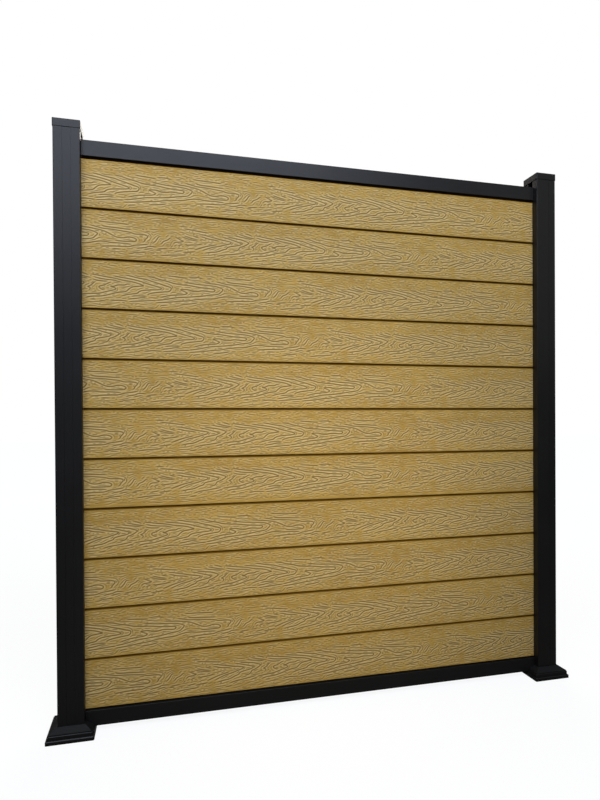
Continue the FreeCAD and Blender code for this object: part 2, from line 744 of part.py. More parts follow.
# A rail screw comes from behind, through the rail's rear wall into the shoe.
make_screw_group("rail_screws", [
    (f"{sign}{RAIL_SCREW_X}", HALF_RAIL, height, (1, 0, 0), -90.0)
    for _, height in SHOES.values() for sign in ("-", "")])

# A stub screw sits on the floor of the outer slot, behind its cover strip.
STUB_SCREW_X = f"({POST_X} + {SLOT_FLOOR})"
make_screw_group("stub_screws", [
    (f"{sign}{STUB_SCREW_X}", "0", size("stub_screw_height"), (0, 1, 0), turn)
    for sign, turn in (("-", -90.0), ("", 90.0))])

# ---------------------------------------------------------------- checks and export
doc.recompute()
for item in doc.Objects:
    if "Invalid" in item.State or "Error" in item.State:
        raise ValueError(f"{item.Label} did not compute: {item.State}")
for part in sub_parts:
    if part.Shape.isNull() or not part.Shape.isValid():
        raise ValueError(f"{part.Label} has no valid shape")
    part.Shape.exportStep(f"parts/{part.Label}.step")
    print(f"{part.Label}: {len(part.Shape.Solids)} solid(s), {part.Shape.Volume / 1000:.1f} cm3")
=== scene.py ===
# %% [markdown]
# # A garden privacy screen
# One bay of an outdoor fence: wood-plastic composite boards with an embossed wood grain,
# held between two slotted aluminium posts, with a rail below and a rail above. The packed
# model is the fixed frame. It brings every piece at its true place, in metres: X runs along
# the boards, the front faces -Y and Z points up from the ground. The looks are built on it.

# %% Load the frame
import math
import bmesh
import bpy
import numpy as np
from mathutils import Matrix, Vector
from mathutils.kdtree import KDTree


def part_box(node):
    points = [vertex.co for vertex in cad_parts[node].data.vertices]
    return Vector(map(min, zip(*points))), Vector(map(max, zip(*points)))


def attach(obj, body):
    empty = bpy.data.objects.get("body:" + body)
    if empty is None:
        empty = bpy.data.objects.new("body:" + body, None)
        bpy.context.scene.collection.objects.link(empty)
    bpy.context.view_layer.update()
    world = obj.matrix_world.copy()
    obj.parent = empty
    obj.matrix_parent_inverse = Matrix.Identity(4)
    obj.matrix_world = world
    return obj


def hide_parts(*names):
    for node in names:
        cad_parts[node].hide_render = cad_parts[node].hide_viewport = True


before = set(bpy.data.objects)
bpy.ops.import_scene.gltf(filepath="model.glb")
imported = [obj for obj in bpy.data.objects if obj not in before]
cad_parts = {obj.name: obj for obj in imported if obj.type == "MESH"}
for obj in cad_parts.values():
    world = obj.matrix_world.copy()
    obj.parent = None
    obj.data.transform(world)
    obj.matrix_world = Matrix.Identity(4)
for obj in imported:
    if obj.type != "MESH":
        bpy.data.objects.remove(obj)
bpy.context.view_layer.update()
MM = 0.001                          # metres in a millimetre
print("nodes:", len(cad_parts))


# %% [markdown]
# ## Measures
# A visual piece that replaces a node has to stand where the node is. So the measures are
# read from the boxes of the nodes, and only what a box can't tell, such as a chamfer, is
# written as a number of millimetres where it is needed.

# %% Read the measures
def low_high(node):
    """The two far corners of a node's box, in metres."""
    low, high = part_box(node)
    return np.array(low), np.array(high)


BOARDS = sorted(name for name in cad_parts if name.startswith("board_"))
post_low, post_high = low_high("left_post")
post_x = -(post_low[0] + post_high[0]) / 2
post_half = (post_high[0] - post_low[0]) / 2
clear_half = post_x - post_half
print("boards:", len(BOARDS), "post centres at x = +-", round(post_x, 4))


# %% [markdown]
# ## The camera
# The photograph was taken from the left of the middle, at about waist height, with the
# camera turned to the right. The numbers come from a least-squares fit of the board
# joints, posts, rails, caps and bases. The optical axis passes a little below the
# picture's middle, which the lens shift gives.

# %% Camera
PICTURE = (600, 800)
FOCAL_PIXELS = 575.3
CENTRE_ROW = 425.6                  # the row of the optical axis, from the top
SENSOR_WIDTH = 36.0                 # mm
CAMERA_AT = Vector((-0.5564, -1.8318, 0.9228))
YAW, PITCH, ROLL = math.radians(14.002), math.radians(-0.359), math.radians(-0.331)

scene = bpy.context.scene
camera_data = bpy.data.cameras.new("camera")
camera = bpy.data.objects.new("camera", camera_data)
scene.collection.objects.link(camera)
bpy.context.scene.camera = camera
camera_data.sensor_width = SENSOR_WIDTH
camera_data.lens = FOCAL_PIXELS / max(PICTURE) * SENSOR_WIDTH
camera_data.shift_y = (CENTRE_ROW - PICTURE[1] / 2) / max(PICTURE)
forward = Vector((
    math.sin(YAW) * math.cos(PITCH), math.cos(YAW) * math.cos(PITCH), math.sin(PITCH)))
level = Vector((math.cos(YAW), -math.sin(YAW), 0.0))
upward = level.cross(forward)
right = level * math.cos(ROLL) + upward * math.sin(ROLL)
top = right.cross(forward)
camera.matrix_world = Matrix((
    (right.x, top.x, -forward.x, CAMERA_AT.x),
    (right.y, top.y, -forward.y, CAMERA_AT.y),
    (right.z, top.z, -forward.z, CAMERA_AT.z),
    (0.0, 0.0, 0.0, 1.0)))
print("lens", round(camera_data.lens, 2), "mm, shift", round(camera_data.shift_y, 4))


# %% [markdown]
# ## Colours and nodes
# Every colour is written as an sRGB hex value, as a paint chart gives it, and one function
# turns it into the linear numbers that a shader needs. A second one adds a node with its
# settings and links. The short ones after it add the nodes that nearly every material
# has, so that a material reads as a list of what it is made of.

# %% Helpers for materials
def colour(hex_code):
    """Linear RGBA of an sRGB hex value."""
    channels = [int(hex_code[i:i + 2], 16) / 255 for i in (1, 3, 5)]
    linear = [c / 12.92 if c <= 0.04045 else ((c + 0.055) / 1.055) ** 2.4 for c in channels]
    return (*linear, 1.0)


def add(tree, kind, inputs=None, **settings):
    """Adds a node. An input is a value, or the output socket of another node."""
    node = tree.nodes.new("ShaderNode" + kind)
    for name, setting in settings.items():
        setattr(node, name, setting)
    for name, source in (inputs or {}).items():
        if isinstance(source, bpy.types.NodeSocket):
            tree.links.new(source, node.inputs[name])
        else:
            node.inputs[name].default_value = source
    return node


def two_tone(tree, share, low, high, low_at=0.0, high_at=1.0):
    """A ramp from one sRGB colour to another, each at its place on the ramp."""
    node = add(tree, "ValToRGB", {"Fac": share})
    first, second = node.color_ramp.elements
    first.position, second.position = low_at, high_at
    first.color, second.color = colour(low), colour(high)
    return node.outputs["Color"]


def spread(tree, value, low, high, from_low=0.0, from_high=1.0):
    """A value mapped from one range to another, and held inside the new one."""
    node = add(tree, "MapRange", {"Value": value, "From Min": from_low, "From Max": from_high,
                                  "To Min": low, "To Max": high})
    return node.outputs["Result"]


def combine(tree, operation, a, b):
    """One value made of two."""
    return add(tree, "Math", {0: a, 1: b}, operation=operation).outputs[0]


def noise(tree, place, scale, detail, roughness=0.5):
    """Cloudy noise, 0 to 1. The scale is how many features the place has in one unit."""
    node = add(tree, "TexNoise", {"Vector": place, "Scale": scale, "Detail": detail,
                                  "Roughness": roughness})
    return node.outputs["Fac"]


def own_place(tree):
    """A point's place on its own object, in metres."""
    return add(tree, "TexCoord").outputs["Object"]


def bump(tree, height, strength, distance):
    """A surface's direction, tilted by small bumps of a height in metres."""
    node = add(tree, "Bump", {"Height": height, "Strength": strength, "Distance": distance})
    return node.outputs["Normal"]


def new_material(name):
    """An empty node material and its tree."""
    material = bpy.data.materials.new(name)
    material.use_nodes = True
    material.node_tree.nodes.clear()
    return material, material.node_tree


def finish_material(tree, shader):
    """Makes a shader the material's surface."""
    add(tree, "OutputMaterial", {"Surface": shader.outputs[0]})


def dress(material, *names):
    """Gives every slot of these CAD nodes the material."""
    for name in names:
        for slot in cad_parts[name].material_slots:
            slot.material = material


# %% [markdown]
# ## The light
# The screen stands in a studio, on white paper. A large soft box hangs high in front of it
# and a wide one behind it, a narrow one stands at the right, and a spot lights the middle
# of the boards. The room adds a weak glow. The white backdrop is only what the camera
# sees, and what polished surfaces mirror from behind the object, so it adds no light to
# the object itself.

# %% Room and backdrop
ROOM_GLOW = 0.22                    # strength of the light that comes back from the room
GLOW_RISE = (-0.1, 0.9)             # sines of the elevations between which it grows
BACKDROP_EDGE = (0.8, 0.9)          # cosines of the angles from the camera's own heading
scene.view_settings.view_transform = "Standard"


def seen(tree, backdrop):
    """1 for the camera's own rays, and the backdrop's share for the mirrored ones."""
    paths = add(tree, "LightPath")
    mirrored = combine(
        tree, "MAXIMUM", paths.outputs["Is Glossy Ray"], paths.outputs["Is Transmission Ray"])
    behind = combine(tree, "MULTIPLY", mirrored, backdrop)
    return combine(tree, "MAXIMUM", paths.outputs["Is Camera Ray"], behind)


world = bpy.data.worlds.new("studio")
scene.world = world
world.use_nodes = True
tree = world.node_tree
tree.nodes.clear()
heading = add(tree, "NewGeometry").outputs["Position"]
# the room is dim at eye level and bright towards the ceiling
rise = add(tree, "SeparateXYZ", {"Vector": heading}).outputs["Z"]
glow = two_tone(
    tree, spread(tree, rise, 0.0, 1.0, *GLOW_RISE), "#3a3226", "#e2e6ea", low_at=0.12, high_at=0.8)
room = add(tree, "Background", {"Color": glow, "Strength": ROOM_GLOW})
white = add(tree, "Background", {"Color": (1, 1, 1, 1), "Strength": 1.0})
# the backdrop fills the camera's view and ends softly round it
ahead = add(tree, "VectorMath", {0: heading, 1: tuple(forward)}, operation="DOT_PRODUCT")
shown = seen(tree, spread(tree, ahead.outputs["Value"], 0.0, 1.0, *BACKDROP_EDGE))
mixed = add(tree, "MixShader", {0: shown, 1: room.outputs[0], 2: white.outputs[0]})
add(tree, "OutputWorld", {"Surface": mixed.outputs[0]})
print("world:", world.name)

# %% Lamps
SOFT_BOXES = {
    # each at a place in metres, towards another, so wide and high, with its watts and tint
    "soft_box_front": ((-0.62, -2.3, 3.1), (-0.2, 0.0, 1.1), (3.4, 1.6), 102, "#e4ecff"),
    "strip_box_right": ((2.1, -1.9, 2.1), (0.8, 0.0, 1.5), (0.8, 1.6), 2.8, "#fff6ea"),
    "soft_box_back": ((0.9, 3.0, 3.2), (0.0, 0.0, 0.9), (3.0, 1.8), 60, "#fff8ee"),
}


def hang(lamp, at, towards, watts, tint):
    """Puts a lamp at a place and aims it at another."""
    lamp.energy = watts
    lamp.color = colour(tint)[:3]
    holder = bpy.data.objects.new(lamp.name, lamp)
    scene.collection.objects.link(holder)
    holder.location = at
    holder.rotation_euler = (Vector(towards) - Vector(at)).to_track_quat("-Z", "Y").to_euler()


for name, (at, towards, (wide, high), watts, tint) in SOFT_BOXES.items():
    soft_box = bpy.data.lights.new(name, "AREA")
    soft_box.shape = "RECTANGLE"
    soft_box.size, soft_box.size_y = wide, high
    hang(soft_box, at, towards, watts, tint)

# behind a honeycomb grid, so that it misses the posts
grid_spot = bpy.data.lights.new("grid_spot", "SPOT")
grid_spot.spot_size = math.radians(34)
grid_spot.spot_blend = 1.0
grid_spot.shadow_soft_size = 0.25   # m
hang(grid_spot, (0.0, -2.5, 1.9), (-0.06, 0.0, 0.62), 80, "#fff4e0")
print("lamps:", len(SOFT_BOXES) + 1)

# %% Floor
FLOOR_HALF = 30.0                   # m
PAPER_NEAR = 0.91                   # how white the lit paper is at the object
PAPER_WHITENS = (1.4, 6.0)          # m from the object, between which it turns white
PAPER_SWEEPS = (2.5, 6.0)           # m behind the object, where it becomes the backdrop

floor_data = bpy.data.meshes.new("floor")
floor_corners = [(-FLOOR_HALF, -FLOOR_HALF, 0), (FLOOR_HALF, -FLOOR_HALF, 0),
                 (FLOOR_HALF, FLOOR_HALF, 0), (-FLOOR_HALF, FLOOR_HALF, 0)]
floor_data.from_pydata(floor_corners, [], [(0, 1, 2, 3)])
floor = bpy.data.objects.new("floor", floor_data)
scene.collection.objects.link(floor)

# the paper's camera-only glow is painted light: a little under white near the object, so
# that its shadow shows, and white where it sweeps up into the backdrop
paper, tree = new_material("matt_paper_backdrop")
matt = add(tree, "BsdfDiffuse", {"Color": colour("#756e63")})
place = add(tree, "NewGeometry").outputs["Position"]
distance = add(tree, "VectorMath", {0: place}, operation="LENGTH").outputs["Value"]
whiteness = spread(tree, distance, PAPER_NEAR, 1.0, *PAPER_WHITENS)
backwards = add(tree, "SeparateXYZ", {"Vector": place}).outputs["Y"]
shown = seen(tree, spread(tree, backwards, 0.0, 1.0, *PAPER_SWEEPS))
paper_glow = add(tree, "Emission", {"Color": colour("#fbfdff"),
                             "Strength": combine(tree, "MULTIPLY", shown, whiteness)})
finish_material(tree, add(tree, "AddShader", {0: matt.outputs[0], 1: paper_glow.outputs[0]}))
floor_data.materials.append(paper)
print("floor", 2 * FLOOR_HALF, "m wide")


# %% [markdown]
# ## The grain on the roller
# Composite boards leave the extruder smooth. A heated steel roller with an engraved
# pattern then presses the grain in, so the same picture returns once per turn of the
# roller, every 869 mm, at another place on each board. The main figure is drawn here as an
# engraver would draw it: a few smooth lines through points, each point as millimetres
# along the roller and millimetres above the board's joint. The finer fibres between them
# are short strokes placed by a seeded draw.

# %% Lines engraved on the roller
TURN = 869.0                        # mm, once round the roller
HEIGHT = 150.0                      # mm, one board from joint to joint
FIGURE = [
    # the big arch: its outer line and the ones nested in it
    [(735, 106), (753, 103), (775, 98.5), (797, 95.5), (815, 90.5), (835, 85), (853, 79.5), (869, 75),
     (872, 70), (866, 62.5), (852, 60), (828, 57), (807, 52.3), (802, 49), (804, 45)],
    [(700, 101.5), (725, 98), (745, 95.5), (765, 92), (785, 87.5), (805, 81.5), (825, 76.5), (838, 73),
     (843, 69), (832, 65.8), (812, 64.3), (788, 61.5), (777, 57.5), (769, 51.5), (745, 47.5), (722, 41.5)],
    [(638, 104), (658, 101), (678, 98), (705, 94.5), (725, 90.5), (745, 87.8), (765, 84.5), (780, 80),
     (789, 75.5), (775, 73.5), (757, 70.5), (747, 64), (737, 56), (715, 52.3), (690, 45), (668, 39.5),
     (640, 37), (620, 32.5)],
    [(752, 78), (741, 78.5), (733, 75), (715, 74.5), (703, 69.8), (695, 68.8), (704, 66.5), (709, 62),
     (700, 58.5), (683, 53.5), (662, 47.5), (635, 45), (606, 41.5)],
    [(643, 97), (662, 92.3), (685, 89.5), (703, 88.5), (714, 85.8), (727, 83.8)],
    [(641, 89.5), (655, 85.8), (672, 84.3), (688, 84.5)],
    # the bullet that follows it, with its notch
    [(800, 105.5), (820, 102.5), (838, 97.7), (860, 93), (881, 87.5), (904, 84.8), (931, 83), (959, 79),
     (989, 77), (1003, 75.5), (1006, 71.5), (999, 67.3), (979, 68.5), (966, 68.8), (942, 65.6),
     (922, 70.3), (901, 69.3), (912, 64.2), (920, 59.5), (910, 54.4), (891, 52.5), (866, 49.5), (838, 42)],
    [(40, 94.5), (60, 91), (85, 88.3), (115, 86.7), (140, 84.5), (157, 79.6), (162, 75), (155, 66.5),
     (146, 60.5), (120, 56.5), (104, 53.5), (80, 50), (50, 47), (25, 45), (0, 40), (-20, 36), (-45, 32.5)],
    # the S line and the hook under it
    [(100, 95.5), (122, 93), (142, 91.5), (172, 87), (188, 82), (205, 74), (220, 68.2), (236, 67.8),
     (252, 71.3), (266, 70), (274, 65), (270, 59.3), (252, 57.8), (228, 57.8), (211, 58.6)],
    [(140, 100), (160, 96), (178, 92.5), (205, 91.2), (235, 88.3), (255, 86), (270, 82), (290, 82),
     (304, 80), (308, 75.5), (301, 67.5), (298, 61.5), (291, 57.5)],
    [(-45, 25.5), (-5, 29), (25, 33), (55, 36), (78, 40.5), (105, 43.7), (133, 45.7), (152, 50.5),
     (176, 53.8), (203, 51.3), (238, 51.3), (262, 49.5)],
    [(172, 103), (183, 98.8), (212, 97), (240, 95.3), (262, 94.3)],
    [(170, 38), (195, 40.3), (230, 42), (252, 42.5), (268, 47), (292, 50.5), (312, 54)],
    [(273, 36.5), (284, 40), (300, 42.5), (312, 46.8), (335, 46.5)],
    # slanted strokes, then the small nested points
    [(350, 78.3), (341, 78.3), (334, 68.5), (329, 62.5), (320, 55)],
    [(381, 78), (374, 76), (366, 70), (355, 65), (349, 58.5), (343, 55)],
    [(389, 81.5), (397, 78.3), (407, 73), (414, 69.7), (405, 66.8), (392, 65), (386, 61.5), (384, 56.5)],
    [(409, 83.5), (422, 80), (435, 76.5), (450, 74), (462, 72.8)],
    [(416, 87), (428, 84), (441, 80.3), (462, 77)],
    [(421, 53.5), (427, 58), (440, 59.8), (456, 61.5), (475, 65)],
    [(397, 54), (405, 57.3), (414, 59.3)],
    [(444, 89), (452, 86), (464, 83.3)],
    [(448, 45.5), (460, 49.5), (480, 56.5), (502, 62.5), (520, 66)],
    [(466, 88), (478, 86.3), (492, 82.3), (510, 80.3), (528, 77)],
    [(463, 94), (478, 93.5), (492, 90.5), (510, 87), (530, 82.5), (552, 79.3), (563, 76.5), (559, 71.7),
     (545, 67.5), (525, 61.5), (505, 57), (487, 50.5), (470, 43.8)],
    [(535, 91.5), (555, 87), (575, 81.5), (588, 77.8), (596, 73.3), (588, 68.7), (570, 65), (553, 60.5),
     (548, 55), (537, 51), (518, 43.6), (500, 41), (478, 36.8)],
    [(551, 93.2), (572, 90), (595, 86.8), (610, 82.5), (619, 78), (612, 71.8), (600, 65.5), (591, 62.5),
     (587, 56), (580, 51.5), (566, 50.8)],
    [(572, 99.5), (592, 95.5), (612, 92.5), (632, 89.5)],
    [(586, 104.5), (603, 100), (622, 95.8), (640, 92.3)],
    [(606, 107.3), (620, 104.5), (633, 99)],
    # the two zigzags before the big arch
    [(654, 81), (648, 80.3), (641, 73.5), (634, 68), (629, 66), (634.5, 63), (635.5, 58.5), (629, 53)],
    [(696, 82.8), (688, 79.5), (675, 72.5), (662, 68.3), (662, 64), (671, 58.8), (679, 58.3)],
    # long lines below the figure
    [(518, 30), (540, 35), (562, 38), (590, 42.5), (606, 45)],
    [(585, 33), (598, 36.5), (612, 40.5)],
    [(752, 42), (772, 44.3), (801, 44)],
    [(742, 33), (762, 35.5), (782, 39), (800, 40)],
    [(745, 26), (770, 28), (800, 30.5), (830, 32.5)],
    [(690, 24.5), (715, 28.3), (745, 27)],
    [(345, 21), (375, 24.5), (405, 26.5), (425, 28)],
    [(505, 20), (518, 20.5), (529, 23)],
    # long lines above it
    [(-10, 110.3), (15, 108.8), (42, 106.5), (55, 106)],
    [(55, 109.5), (80, 110.3), (103, 106.3)],
    [(163, 113.5), (190, 112), (222, 111), (255, 109)],
    [(402, 115.5), (430, 114.3)],
    [(415, 109.3), (440, 106.5), (460, 104), (495, 100)],
    # short lines between the lower fibres
    [(295, 36), (310, 39), (325, 41)],
    [(332, 37), (350, 37.5)],
    [(335, 41), (352, 42.5), (368, 43.5)],
    [(385, 36), (400, 38.5), (415, 41)],
    [(412, 35.5), (428, 37), (445, 39), (452, 41)],
    [(250, 22.5), (262, 23), (272, 26), (290, 27.5), (305, 29)],
    [(202, 33.5), (215, 33.3), (230, 33)],
    [(30, 24), (60, 26.5), (85, 31)],
    [(635, 29), (652, 29)],
    [(660, 26), (680, 25)],
    # a small tick near the lower edge
    [(838, 13), (842, 17.5), (862, 20)],
]
print("figure lines:", len(FIGURE), "with", sum(len(line) for line in FIGURE), "points")


# %% [markdown]
# The roller's surface is a height map. A line becomes many samples along a smooth curve
# through its points (a Catmull-Rom spline, which passes through each of them), and every
# sample lowers the cells round it, less with distance. The map closes on itself after
# one turn.

# %% Engrave the figure
CELL = 1.0                          # mm
ROWS, COLUMNS = int(HEIGHT / CELL), int(TURN / CELL)
FIGURE_WIDTH = 1.75                 # mm from a line's middle to where a third of its depth is left
SAMPLE_STEP = 0.8                   # mm between a line's samples
FADE_SAMPLES = 10                   # samples over which a line eases in and out
FADE_SHARE = 0.3                    # the most of a line's length that this may take
FADE_POWER = 0.7                    # under 1, the line deepens fast at first


def through_points(points):
    """Samples on the Catmull-Rom spline through the points."""
    p = np.array(points, float)
    p = np.vstack([2 * p[0] - p[1], p, 2 * p[-1] - p[-2]])
    samples = []
    for a, b, c, d in zip(p, p[1:], p[2:], p[3:]):
        count = max(2, int(np.hypot(*(c - b)) / SAMPLE_STEP))
        t = np.linspace(0, 1, count, endpoint=False)[:, None]
        samples.append(0.5 * (2 * b + (c - a) * t + (2 * a - 5 * b + 4 * c - d) * t ** 2
                              + (3 * b - a - 3 * c + d) * t ** 3))
    return np.vstack(samples)


def fades(count, share):
    """1 along the line, easing to 0 over a share of its length at both ends."""
    t = np.linspace(0, 1, count)
    return np.clip(np.minimum(t, 1 - t) / share, 0, 1) ** FADE_POWER


def engrave(places, strengths, width):
    """Depth 0..1 on the map's cells of all samples together."""
    depth = np.zeros((ROWS, COLUMNS))
    home = np.round(places / CELL).astype(int)
    reach = math.ceil(2 * width / CELL)
    for du in range(-reach, reach + 1):
        for dh in range(-reach, reach + 1):
            column, row = home[:, 0] + du, home[:, 1] + dh
            far_squared = (column * CELL - places[:, 0]) ** 2 + (row * CELL - places[:, 1]) ** 2
            inside = (row >= 0) & (row < ROWS)
            np.maximum.at(depth, (row[inside], column[inside] % COLUMNS),
                          (strengths * np.exp(-far_squared / width ** 2))[inside])
    return depth


figure_samples = [through_points(points) for points in FIGURE]
figure_places = np.vstack(figure_samples)
figure_fades = [fades(len(samples), min(FADE_SHARE, FADE_SAMPLES / len(samples)))
                for samples in figure_samples]
figure = engrave(figure_places, np.concatenate(figure_fades), FIGURE_WIDTH)
print("figure samples:", len(figure_places), "map:", figure.shape)


# %% [markdown]
# Between the figure's lines the roller is combed with fine fibres. A fibre follows the
# lines beside it, as hair follows a comb, and runs level where no line is near. So the
# direction at a place is the mean of the nearest lines' directions, weighted by how near
# they are, and a level direction with a small weight. Directions are averaged as doubled
# angles, because a line has no front or back. Each fibre grows both ways from a seeded
# place and stops short of what is engraved already, which spaces them evenly. Above the
# figure the roller has only short shallow dashes.

# %% Comb the fibres
SEEDS = 5200                        # places tried; most are too near a line
DRAW_SEED = 4                       # so that every run draws the same places
FIBRE_WIDTH = 1.3                   # mm
FIBRE_STEP = 1.5                    # mm between a fibre's samples
FIBRE_SPACE = 3.3                   # mm kept free on both sides of a line
FIBRE_HEIGHTS = (4, 145)            # mm above the joint, between which fibres run
FIBRE_LENGTHS = (9, 42)             # mm each way from the seed
FIBRE_DEPTHS = (0.55, 1.0)          # of the deepest groove
FIBRE_FEWEST = 4                    # samples, below which a fibre is left out
DASHES_ABOVE = 108                  # mm above the joint
DASH_LENGTH, DASH_DEPTH = 0.7, 0.9  # of a fibre's
NEIGHBOURS = 8                      # samples of the figure that a place looks to
LEVEL_WEIGHT = 0.006
NEAR_SQUARED = 6.0                  # mm2, below which a line counts hardly more
COMB_REACH = 16                     # mm, beyond which a line hardly counts
WAVER, WAVER_LENGTH = 0.16, 6.5     # radians to either side, mm for a radian of the wave
WAVE_STARTS = 6.3                   # radians, about a full turn

tangents = np.vstack([np.gradient(samples, axis=0) for samples in figure_samples])
doubled = 2 * np.arctan2(tangents[:, 1], tangents[:, 0])
comb = KDTree(3 * len(figure_places))
for turn in (-1, 0, 1):
    for index, (u, h) in enumerate(figure_places.tolist()):
        comb.insert((u + turn * TURN, h, 0.0), index)
comb.balance()
taken = np.zeros((ROWS, COLUMNS), bool)


def direction(u, h):
    """Angle of the fibres at a place."""
    east, north = LEVEL_WEIGHT, 0.0
    for _, index, far in comb.find_n((u, h, 0.0), NEIGHBOURS):
        weight = 1 / (far * far + NEAR_SQUARED) / (1 + (far / COMB_REACH) ** 4)
        east += weight * math.cos(doubled[index])
        north += weight * math.sin(doubled[index])
    return math.atan2(north, east) / 2


def is_free(u, h):
    """Whether a fibre may pass here."""
    row = int(round(h / CELL))
    column = int(round(u / CELL)) % COLUMNS
    return FIBRE_HEIGHTS[0] < h < FIBRE_HEIGHTS[1] and not taken[min(row, ROWS - 1), column]


def take(places):
    """Marks the cells near the samples as engraved."""
    reach = math.ceil(FIBRE_SPACE / CELL)
    home = np.round(places / CELL).astype(int)
    for du in range(-reach, reach + 1):
        for dh in range(-reach, reach + 1):
            if math.hypot(du, dh) * CELL <= FIBRE_SPACE:
                row = np.clip(home[:, 1] + dh, 0, ROWS - 1)
                taken[row, (home[:, 0] + du) % COLUMNS] = True


def grow(u, h, sense, length, wave):
    """Samples of a fibre that runs one way from a place."""
    run, heading = [], (0.0 if sense > 0 else math.pi)
    for count in range(int(length / FIBRE_STEP)):
        waver = WAVER * math.sin(wave + sense * count * FIBRE_STEP / WAVER_LENGTH)
        angle = direction(u, h) + waver
        if math.cos(angle - heading) < 0:
            angle += math.pi
        heading = angle
        u, h = u + FIBRE_STEP * math.cos(angle), h + FIBRE_STEP * math.sin(angle)
        if not is_free(u, h):
            break
        run.append((u, h))
    return run


take(figure_places)
draw = np.random.default_rng(DRAW_SEED)
fibre_places, fibre_depths = [], []
for _ in range(SEEDS):
    u, h = draw.uniform(0, TURN), draw.uniform(*FIBRE_HEIGHTS)
    length = draw.uniform(*FIBRE_LENGTHS)
    wave = draw.uniform(0, WAVE_STARTS)
    depth = draw.uniform(*FIBRE_DEPTHS)
    if h > DASHES_ABOVE:
        length, depth = DASH_LENGTH * length, DASH_DEPTH * depth
    if not is_free(u, h):
        continue
    line = np.array(grow(u, h, -1, length, wave)[::-1] + [(u, h)] + grow(u, h, 1, length, wave))
    if len(line) < FIBRE_FEWEST:
        continue
    take(line)
    fibre_places.append(line)
    fibre_depths.append(depth * fades(len(line), FADE_SHARE))
fibres = engrave(np.vstack(fibre_places), np.concatenate(fibre_depths), FIBRE_WIDTH)
print("fibres:", len(fibre_places))


# %% [markdown]
# Where the roller's lines crowd, the composite between them is squeezed up into a crest,
# and the crests are painted lighter: a painted highlight that stands in for the lamps'
# glint on the ridges. A crest is therefore high where the map is deep all round a place
# and shallow at the place itself.

# %% Crests between the lines
CREST_BLUR = 3.2                    # mm
CREST_GAIN = 2.2                    # how much the blurred depth counts against the depth


def blurred(values, width):
    """The map blurred by a Gaussian, in the frequency domain, which closes on itself."""
    waves_h = np.fft.fftfreq(ROWS, CELL)[:, None]
    waves_u = np.fft.fftfreq(COLUMNS, CELL)[None, :]
    keep = np.exp(-2 * (math.pi * width) ** 2 * (waves_h ** 2 + waves_u ** 2))
    return np.real(np.fft.ifft2(np.fft.fft2(values) * keep))


roller = np.maximum(figure, fibres * (1 - figure))
crest = np.clip(CREST_GAIN * blurred(roller, CREST_BLUR) - roller, 0, 1)
print("mean depth", round(float(roller.mean()), 3), "mean crest", round(float(crest.mean()), 3))


# %% [markdown]
# ## The boards
# Each board is one extrusion: a flat face in front and behind, a tongue along the top, a
# groove along the bottom and four hollow cells. It could be the plain solid with a bump
# map, but a raking light shows the relief at the edges too, so the faces are real meshes
# fine enough to carry the grooves. The section is drawn once, its rows are repeated at
# many places along the board, and each vertex of a face is pressed in by the roller's
# map. Pressing only moves vertices inwards, so the board stays inside its true size.

# %% Board section
board_low, board_high = low_high("board_01")
BOARD_HALF = board_high[1] / MM     # half the thickness, mm
TONGUE_HALF = 3.5                   # half its thickness
TONGUE_RISE = 16.4                  # above the face
TONGUE_TOP = (board_high[2] - board_low[2]) / MM
GROOVE_HALF = 3.9                   # half its width
GROOVE_DEEP = 10.0
FACE = TONGUE_TOP - TONGUE_RISE     # height of the face
EDGE = 1.2                          # chamfer along the faces
HOLLOWS = 4
HOLLOW_HALF = 5.9                   # half a hollow cell's depth
HOLLOW_FIRST = 14.6                 # from the board's foot to the lowest one
HOLLOW_HIGH = 27.35
HOLLOW_PITCH = 32.35
HOLLOW_CORNER = 1.5                 # chamfer in its corners
FRONT_ROW, BACK_ROW = 1.7, 3.4      # mm between vertices, up the faces
COLUMN = 2.8                        # mm between vertices, along the board


def face_rows(step):
    """Heights of a face's rows of vertices."""
    count = int(round((FACE - 2 * EDGE) / step))
    return np.linspace(EDGE, FACE - EDGE, count + 1)


front = [(-BOARD_HALF, z) for z in face_rows(FRONT_ROW)]
back = [(BOARD_HALF, z) for z in face_rows(BACK_ROW)[::-1]]
chamfer = BOARD_HALF - EDGE
tongue = [(-chamfer, FACE), (-TONGUE_HALF, FACE), (-TONGUE_HALF, TONGUE_TOP),
          (TONGUE_HALF, TONGUE_TOP), (TONGUE_HALF, FACE), (chamfer, FACE)]
groove = [(chamfer, 0.0), (GROOVE_HALF, 0.0), (GROOVE_HALF, GROOVE_DEEP),
          (-GROOVE_HALF, GROOVE_DEEP), (-GROOVE_HALF, 0.0)]
outline = np.array([(-chamfer, 0.0)] + front + tongue + back + groove)

side = HOLLOW_HALF - HOLLOW_CORNER
shoulder = HOLLOW_HIGH - HOLLOW_CORNER
hollow_outline = np.array([
    (-side, 0), (-HOLLOW_HALF, HOLLOW_CORNER), (-HOLLOW_HALF, shoulder), (-side, HOLLOW_HIGH),
    (side, HOLLOW_HIGH), (HOLLOW_HALF, shoulder), (HOLLOW_HALF, HOLLOW_CORNER), (side, 0)])
print("section points:", len(outline))


# %% Press the grain in
EMBOSS = 0.7                        # mm, depth of the deepest groove
ROLLER_FOOT = 2.3                   # mm, the roller's own zero below the face's foot
LIFT_OFF = 2.5                      # mm beside an edge, where the roller comes off the face
LAST_ROW = ROWS - 1.001             # just inside the map's last row


def between_cells(values, u, h):
    """A map's value at u mm along the roller and h mm above its zero."""
    x, y = (u % TURN) / CELL, np.clip(h / CELL, 0, LAST_ROW)
    i, j = np.floor(x).astype(int) % COLUMNS, np.floor(y).astype(int)
    fx, fy = x - np.floor(x), y - j
    k = (i + 1) % COLUMNS
    lower = values[j, i] * (1 - fx) + values[j, k] * fx
    upper = values[j + 1, i] * (1 - fx) + values[j + 1, k] * fx
    return lower * (1 - fy) + upper * fy


